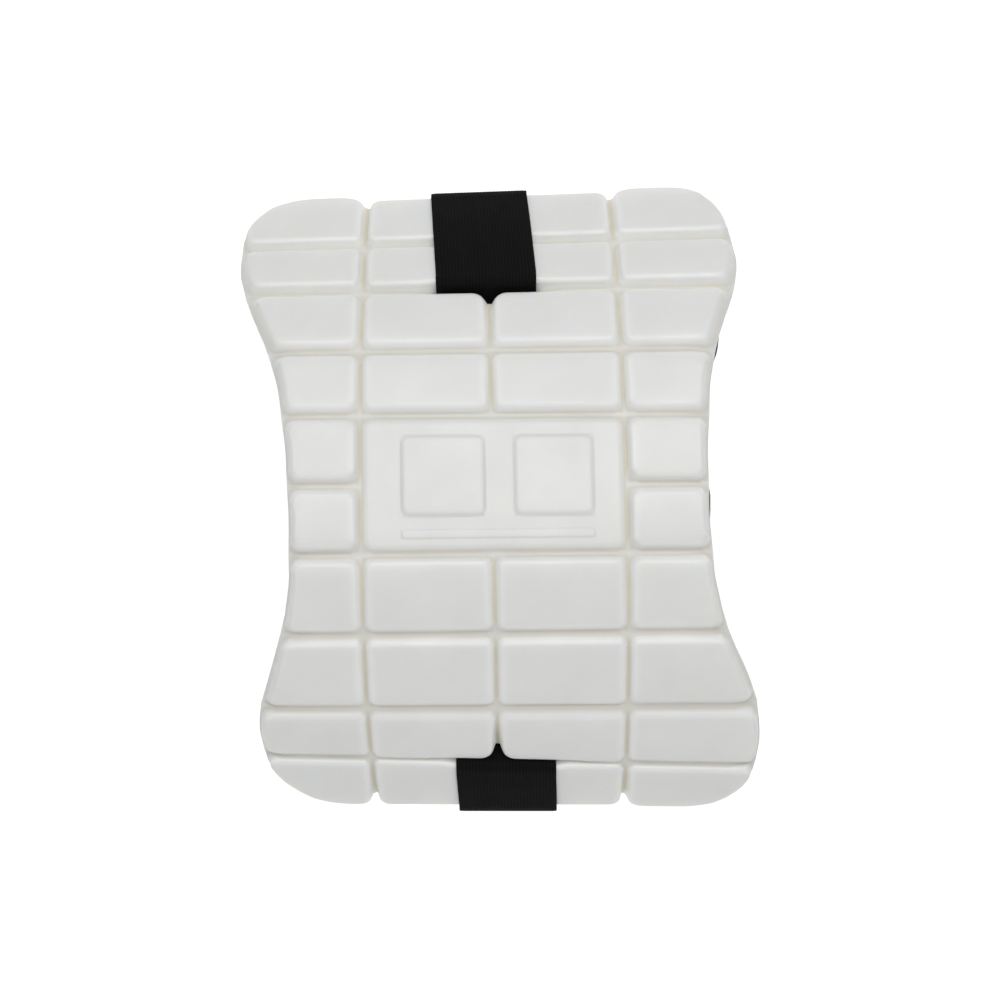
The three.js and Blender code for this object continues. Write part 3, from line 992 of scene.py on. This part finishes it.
def squeeze_notch(x, r, z):
    """Moves the foot of the blocks together where a groove along the pad runs out at an end."""
    line = min(COLUMN_GROOVES, key=lambda at: abs(x - at))
    beside = ease(1 - abs(x - line) / NOTCH_WIDTH)
    at_end = ease(1 - min(r, PAD_LENGTH - r) / NOTCH_LENGTH)
    return line + (x - line) * (1 - NOTCH_SQUEEZE * beside * at_end * clamp(1 - z / GROOVE_DEPTH))


def dip_notch(x, r, z):
    """Moves the base in where a groove along the pad runs out at the bottom end."""
    off = min(abs(x - line) for line in COLUMN_GROOVES)
    beside = clamp(1 - off / COLUMN_STRIP)
    return r + NOTCH_DIP * beside * ease(1 - r / NOTCH_LENGTH) * clamp(1 - z / GROOVE_DEPTH)


def floor_fill(x, r, z):
    """How far the floor of a groove is drawn up: less at the sides and slots, and not at the bottom end."""
    from_side = side_edge(side_of(x), r) - abs(x)
    inside = ease((from_side - SIDE_FILL_START) / SIDE_FILL_WIDTH)
    fill = EDGE_FILL + (smooth(GROOVES, "fill", r) - EDGE_FILL) * inside
    for slot in SLOTS:
        beyond = ease((abs(r - slot.r) - SLOT_TIP) / SLOT_FILL_ALONG)
        beside = ease((abs(x - slot.x) - SLOT_FILL_START) / SLOT_FILL_ACROSS)
        fill *= max(beyond, beside)
    return fill * ease(r / BOTTOM_FILL_WIDTH) * clamp(1 - z / GROOVE_DEPTH)


def edge_highlight_share(x, r, z):
    """Share of the painted highlight on the walls and edges of a block: most where they face the middle."""
    if on_panel(x, r):
        return 0.0
    groove = min(GROOVES, key=lambda line: abs(r - line.r))
    from_middle = groove.r - PAD_LENGTH / 2
    outwards = (r - groove.r) * from_middle < 0
    row_share = clamp(1.3 - abs(from_middle) / HIGHLIGHT_REACH) if outwards else 1.0
    off_row = abs(r - groove.r) - FOOT_TO_ROW - WALL_SLOPE - CROWN / 2
    off_column = min(abs(x - line) for line in COLUMN_GROOVES) - FOOT_TO_COLUMN - WALL_SLOPE - CROWN / 2
    beside = max(row_share * ease(1 - off_row / HIGHLIGHT_FADE), COLUMN_HIGHLIGHT * ease(1 - off_column / HIGHLIGHT_FADE))
    return beside * ease(z / (GROOVE_DEPTH * 0.4))


def side_shade_share(x, r):
    """Share of the painted shade on the sides of the pad: full at the edge and none on the tops."""
    from_side = side_edge(side_of(x), r) - abs(x)
    return ease(1 - (from_side - FOOT_TO_SIDE) / SIDE_SHADE_FADE)


def dome_drop(x, r):
    """How far the top of a block drops beside the grooves."""
    if on_panel(x, r):
        return 0.0
    off_row = min(abs(r - groove.r) for groove in GROOVES)
    beside = clamp(1 - (off_row - FOOT_TO_ROW - WALL_SLOPE) / DOME_WIDTH)
    return DOME * beside * beside


def bend_to_bow(bm, settings, half_slot):
    """Sets the shares of painted shade and highlight on the skin, adds the unevenness of a soft moulding and
    bends the pad.
    """
    groove_shade = bm.verts.layers.float.new("groove_shade")
    edge_highlight = bm.verts.layers.float.new("edge_highlight")
    side_shade = bm.verts.layers.float.new("side_shade")
    # Shares of the painted shade in the grooves and on the sides and of the painted highlight on the edges.
    for v in bm.verts:
        x, r, z = v.co
        v[groove_shade] = groove_shade_share(x, r, z)
        v[edge_highlight] = edge_highlight_share(x, r, z)
        v[side_shade] = side_shade_share(x, r)
        uneven = noise.noise(Vector((x, r, 0)) * WAVE_SCALE) * settings.waviness
        soft = (uneven - dome_drop(x, r)) * ease(z / GROOVE_DEPTH)
        if z > RIM_TOP:
            soft += floor_fill(x, r, z)
        x, r = lean(squeeze_notch(x, r, z), dip_notch(x, draw_over(x, r, z, half_slot), z), z)
        v.co = place(x, r, z - GROOVE_DEPTH + soft)


class CHESTGUARD_OT_pad(bpy.types.Operator):
    """Build the moulded foam pad"""

    bl_idname = "chest_guard.pad"
    bl_label = "Foam pad"

    def execute(self, context):
        settings = context.scene.chest_guard_pad
        half_slot = context.scene.chest_guard_strap.width / 2 + SLOT_SIDE_GAP
        bm = bmesh.new()
        squared_plan(bm)
        edge = {v: v.co.copy() for v in bm.verts if v.is_boundary}
        cells = bm.faces[:]
        for v, plan in edge.items():
            v.co.xy = outline_point(plan.x, plan.y, FOOT_TO_ROW - FOOT_TO_SIDE, FOOT_TO_ROW - FOOT_TO_END)
        raise_tops(bm, cells, [(FOOT_TO_ROW, 0)])
        for v, plan in edge.items():
            v.co.xy = outline_point(plan.x, plan.y, LIP, LIP)
        for v in corners_of(cells):
            for line in COLUMN_GROOVES:
                if abs(v.co.x - line) < FOOT_TO_ROW + 1e-5:
                    v.co.x = line + math.copysign(FOOT_TO_COLUMN, v.co.x - line)
        panel = max(cells, key=lambda f: f.calc_area())
        blocks = [f for f in cells if f is not panel]
        panel_height = GROOVE_DEPTH - settings.panel_drop
        stand_blocks(bm, blocks, WALL_SLOPE, GROOVE_DEPTH, lambda x, r: block_corner(settings, x, r))
        stand_blocks(bm, [panel], WALL_SLOPE, panel_height, lambda x, r: settings.corner_radius)
        for slot in SLOTS:
            cut_slot(bm, slot, half_slot)
        close_back(bm, edge)
        tops = tops_at(bm, GROOVE_DEPTH, 0.0003) + tops_at(bm, panel_height, 0.0003)
        if len(tops) != len(cells):
            raise RuntimeError(f"{len(tops)} tops found for {len(cells)} cells")
        round_edges(bm, edges_of(tops), CROWN, 5)
        settle_order(bm)
        raise_tiles(bm, panel_height)
        for groove in GROOVES:
            for away in DOME_LINES:
                cut(bm, everything(bm), ALONG, groove.r - away, snap=LINE_SNAP)
                cut(bm, everything(bm), ALONG, groove.r + away, snap=LINE_SNAP)
        lines = [LINE_STEP * k + LINE_STEP / 2 for k in range(-LINE_COUNT, LINE_COUNT + 1)]
        for line in COLUMN_GROOVES:
            lines += [line - COLUMN_STRIP, line + COLUMN_STRIP]
        for line in lines:
            cut(bm, everything(bm), ACROSS, line, snap=LINE_SNAP)
        bend_to_bow(bm, settings, half_slot)
        bmesh.ops.recalc_face_normals(bm, faces=bm.faces[:])
        pad = add_piece("moulded_pad", bm, moulded_foam(settings), "foam_pad")
        return {"FINISHED"}


class CHESTGUARD_OT_lining(bpy.types.Operator):
    """Build the cloth lining on the back of the pad"""

    bl_idname = "chest_guard.lining"
    bl_label = "Back lining"

    def execute(self, context):
        settings = context.scene.chest_guard_lining
        half_slot = context.scene.chest_guard_strap.width / 2 + SLOT_SIDE_GAP
        front = -PAD_THICKNESS - LINING_GAP
        bm = bmesh.new()
        bm.loops.layers.uv.new("cloth")
        bmesh.ops.create_grid(bm, x_segments=48, y_segments=90, size=0.5, calc_uvs=True)
        length = PAD_LENGTH - 2 * LINING_END_TRIM
        for v in bm.verts:
            r = LINING_END_TRIM + (v.co.y + 0.5) * length
            left = smooth(OUTLINE, "left", r) + LINING_LEFT_TRIM + corner_cut("left", r, LINING_END_TRIM)
            right = smooth(OUTLINE, "right", r) + smooth(LINING_EDGE, "right", r)
            right -= corner_cut("right", r, LINING_END_TRIM)
            v.co = (left + (right - left) * (v.co.x + 0.5), r, 0)
        area = sum(f.calc_area() for f in bm.faces)
        for slot in SLOTS:
            middle = slot.r - slot.towards * LINING_SLOT_SHIFT
            lines = (
                (ACROSS, slot.x - half_slot),
                (ACROSS, slot.x + half_slot),
                (ALONG, middle - LINING_SLOT_HALF),
                (ALONG, middle + LINING_SLOT_HALF),
            )
            for axis, at in lines:
                near = [f for f in bm.faces if abs(f.calc_center_median().y - middle) < 5 * LINING_SLOT_HALF]
                cut(bm, touching(near), axis, at)
            hole = []
            for face in bm.faces:
                centre = face.calc_center_median()
                if abs(centre.x - slot.x) < half_slot and abs(centre.y - middle) < LINING_SLOT_HALF:
                    hole.append(face)
            bmesh.ops.delete(bm, geom=hole, context="FACES")
        for v in bm.verts:
            v.co = place(v.co.x, v.co.y, front - settings.thickness / 2)
        bmesh.ops.recalc_face_normals(bm, faces=bm.faces[:])
        lining = add_piece("back_lining_cloth", bm, knitted_lining(settings), "back_lining")
        shell = lining.modifiers.new("cloth thickness", "SOLIDIFY")
        shell.thickness = settings.thickness
        shell.offset = 0
        return {"FINISHED"}


Station = namedtuple("Station", "r x y z skew")


def floor_bend(r, towards, x):
    """Strap from the back edge at an end of the pad round to the floor."""
    out, n = END_TURN[-1]
    start = place(x, r + towards * out, n)
    down = place(x, r + towards * out, n - 0.001) - start
    reach = (STRAP_THICKNESS / 2 - start.z) / down.z
    corner = start + down * reach
    before = start.lerp(corner, 1 - FLOOR_BEND / (reach * down.length))
    after = corner - Vector((0, towards * FLOOR_BEND, 0))
    points = []
    for k in range(7):
        t = k / 6
        points.append(before.lerp(corner, t).lerp(corner.lerp(after, t), t))
    return [(p, skew_at(r)) for p in points]


def strap_line():
    """Middle line of the strap once round the loop, from the middle of the run behind the pad."""
    bottom = BOTTOM_SLOT.r
    top = TOP_SLOT.r
    top_end = PAD_LENGTH + STRAP_TOP_SHIFT
    bottom_end = -STRAP_BOTTOM_SHIFT
    inset = -SLOT_TURN[-1].out
    line = []

    def put(x, r, n):
        line.append((place(x, r, n), skew_at(r)))

    def run(start, end, count, height, x0, x1):
        for k in range(1, count):
            t = k / count
            put(x0 + (x1 - x0) * t, start + (end - start) * t, height)

    run(bottom + inset, top - inset, 24, STRAP_BEHIND, BOTTOM_SLOT.x, TOP_SLOT.x)
    half = len(line) // 2
    first_half = line[:half + 1]
    line = line[half:]
    for turn in reversed(SLOT_TURN):
        put(TOP_SLOT.x, top + turn.out, turn.n)
    run(top + SLOT_TURN[0].out, PAD_LENGTH + END_TURN[0].out, 6, STRAP_OVER, TOP_SLOT.x, TOP_END_X)
    for turn in END_TURN:
        put(TOP_END_X, top_end + turn.out, turn.n)
    line += floor_bend(top_end, 1, TOP_END_X)
    leaving, leaving_skew = line[-1]
    landing = floor_bend(bottom_end, -1, BOTTOM_END_X)[::-1]
    for k in range(1, 30):
        t = k / 30
        skew = leaving_skew + (landing[0][1] - leaving_skew) * t
        line.append((leaving.lerp(landing[0][0], t), skew))
    line += landing
    for turn in reversed(END_TURN):
        put(BOTTOM_END_X, bottom_end - turn.out, turn.n)
    run(-END_TURN[0].out, bottom - SLOT_TURN[0].out, 4, STRAP_OVER, BOTTOM_END_X, BOTTOM_SLOT.x)
    for turn in SLOT_TURN:
        put(BOTTOM_SLOT.x, bottom - turn.out, turn.n)
    line += first_half
    stations = []
    length = 0.0
    for k, (point, skew) in enumerate(line):
        if k:
            length += (point - line[k - 1][0]).length
        stations.append(Station(length, point.x, point.y, point.z, skew))
    return stations


def fine_steps(stations):
    """Places along the strap line, close together in its bends."""
    steps = []
    for a, b in zip(stations, stations[1:]):
        count = 2 if b.r - a.r < BEND_STEP else 1
        steps += [a.r + (b.r - a.r) * k / count for k in range(count)]
    return steps + [stations[-1].r]


def strap_section(settings):
    """Points round the section of the strap: across, out and how much of a ridge each one is."""
    half = settings.width / 2
    thick = STRAP_THICKNESS / 2
    low = settings.rib_height
    count = settings.ribs * RIB_STEPS
    face = []
    for k in range(count + 1):
        share = 0.5 - 0.5 * math.cos(math.tau * k / RIB_STEPS)
        edge = clamp(min(k, count - k) / RIB_STEPS)
        across = -half + settings.width * k / count
        out = thick - low * (1 - share) * edge - SELVEDGE_DROP * (1 - edge)
        face.append((across, out, share))
    back = [(-a, -t, share) for a, t, share in face]
    return face + back


class CHESTGUARD_OT_strap(bpy.types.Operator):
    """Build the woven elastic loop"""

    bl_idname = "chest_guard.strap"
    bl_label = "Elastic loop"

    def execute(self, context):
        settings = context.scene.chest_guard_strap
        stations = strap_line()
        steps = fine_steps(stations)
        section = strap_section(settings)
        section.append(section[0])
        bm = bmesh.new()
        bm.loops.layers.uv.new("weave")
        ridge = bm.verts.layers.float.new("ridge")
        rows = len(steps) - 1
        columns = len(section) - 1
        bmesh.ops.create_grid(bm, x_segments=columns, y_segments=rows, size=0.5, calc_uvs=True)
        frames = []
        for k, s in enumerate(steps):
            at = Vector([smooth(stations, axis, s) for axis in "xyz"])
            before = Vector([smooth(stations, axis, max(s - TANGENT_STEP, 0)) for axis in "xyz"])
            after = Vector([smooth(stations, axis, min(s + TANGENT_STEP, steps[-1])) for axis in "xyz"])
            along = after - before
            along.x = 0
            along.normalize()
            frames.append((at, Vector((0, -along.z, along.y)), smooth(stations, "skew", s)))
        for v in bm.verts:
            across, out, share = section[round((v.co.x + 0.5) * columns)]
            at, up, skew = frames[round((v.co.y + 0.5) * rows)]
            v[ridge] = share
            v.co = at + Vector((across, across * skew, 0)) + up * out
        bmesh.ops.remove_doubles(bm, verts=bm.verts[:], dist=SEAM_GAP)
        bmesh.ops.recalc_face_normals(bm, faces=bm.faces[:])
        add_piece("elastic_loop", bm, woven_elastic(settings, steps[-1]), "elastic_strap")
        return {"FINISHED"}


# Stage: square soft lamps that face the guard, the light from all round, and where the camera looks.
Lamp = namedtuple("Lamp", "name place size power")
LAMPS = (
    Lamp("overhead_softbox", Vector((0.06, 0.55, 1.9)), 1.4, 26.6),
    Lamp("low_fill", Vector((0, -1.4, 0.9)), 1.2, 3.6),
)
LAMP_AIM = Vector((0, 0, 0.03))
FILL_STRENGTH = 0.16
FLOOR_DROP = 0.0005
CAMERA_AIM = Vector((0.0014, -0.0041, 0.0693))
FRAME_WIDTH = 36


def add_lamp(lamp):
    data = bpy.data.lights.new(lamp.name, "AREA")
    data.shape = "SQUARE"
    data.size = lamp.size
    data.energy = lamp.power
    holder = bpy.data.objects.new(lamp.name, data)
    holder.location = lamp.place
    holder.rotation_euler = (LAMP_AIM - lamp.place).to_track_quat("-Z", "Y").to_euler()
    bpy.context.scene.collection.objects.link(holder)


class CHESTGUARD_OT_stage(bpy.types.Operator):
    """Set up the floor, the light and the camera"""

    bl_idname = "chest_guard.stage"
    bl_label = "Stage"

    def execute(self, context):
        settings = context.scene.chest_guard_stage
        scene = context.scene
        bm = bmesh.new()
        bmesh.ops.create_grid(bm, x_segments=8, y_segments=8, size=settings.floor_size / 2)
        bmesh.ops.translate(bm, verts=bm.verts[:], vec=(0, 0, -FLOOR_DROP))
        mesh = bpy.data.meshes.new("lit_floor")
        bm.to_mesh(mesh)
        bm.free()
        mesh.materials.append(lit_sheet(settings))
        floor = bpy.data.objects.new("lit_floor", mesh)
        scene.collection.objects.link(floor)
        for lamp in LAMPS:
            add_lamp(lamp)
        world = bpy.data.worlds.new("studio_fill")
        world.use_nodes = True
        world.node_tree.nodes.clear()
        fill = add_node(
            world.node_tree,
            "ShaderNodeBackground",
            {"Color": linear("#ffffff"), "Strength": FILL_STRENGTH},
        )
        add_node(world.node_tree, "ShaderNodeOutputWorld", {"Surface": fill.outputs["Background"]})
        scene.world = world
        scene.view_settings.view_transform = "Standard"
        turn = Matrix.Rotation(settings.camera_turn, 3, "Z")
        rise = Matrix.Rotation(math.pi / 2 - settings.camera_rise, 3, "X")
        roll = Matrix.Rotation(settings.camera_roll, 3, "Z")
        look = turn @ rise @ roll
        data = bpy.data.cameras.new("picture_camera")
        data.sensor_width = FRAME_WIDTH
        data.lens = settings.lens
        data.clip_start = 0.01
        camera = bpy.data.objects.new("picture_camera", data)
        camera.location = CAMERA_AIM + look.col[2] * settings.camera_distance
        camera.rotation_euler = look.to_euler()
        scene.collection.objects.link(camera)
        scene.camera = camera
        return {"FINISHED"}


class CHESTGUARD_PT_pieces(bpy.types.Panel):
    """Pieces of the chest guard and their settings"""

    bl_idname = "CHESTGUARD_PT_pieces"
    bl_label = "Chest guard"
    bl_space_type = "VIEW_3D"
    bl_region_type = "UI"
    bl_category = "Chest guard"

    def draw(self, context):
        for piece in PIECES:
            box = self.layout.box()
            box.operator(piece.operator.bl_idname)
            settings = getattr(context.scene, piece.group)
            for name in settings.bl_rna.properties.keys():
                if name not in ("rna_type", "name"):
                    box.prop(settings, name)


Piece = namedtuple("Piece", "operator group settings")
PIECES = (
    Piece(CHESTGUARD_OT_pad, "chest_guard_pad", ChestGuardPadSettings),
    Piece(CHESTGUARD_OT_lining, "chest_guard_lining", ChestGuardLiningSettings),
    Piece(CHESTGUARD_OT_strap, "chest_guard_strap", ChestGuardStrapSettings),
    Piece(CHESTGUARD_OT_stage, "chest_guard_stage", ChestGuardStageSettings),
)
CLASSES = [cls for piece in PIECES for cls in (piece.settings, piece.operator)] + [CHESTGUARD_PT_pieces]


def register():
    for cls in CLASSES:
        bpy.utils.register_class(cls)
    for piece in PIECES:
        setattr(bpy.types.Scene, piece.group, PointerProperty(type=piece.settings))


def unregister():
    for piece in PIECES:
        delattr(bpy.types.Scene, piece.group)
    for cls in reversed(CLASSES):
        bpy.utils.unregister_class(cls)


def main():
    register()
    bpy.ops.chest_guard.pad()
    bpy.ops.chest_guard.lining()
    bpy.ops.chest_guard.strap()
    bpy.ops.chest_guard.stage()


if __name__ == "__main__":
    main()
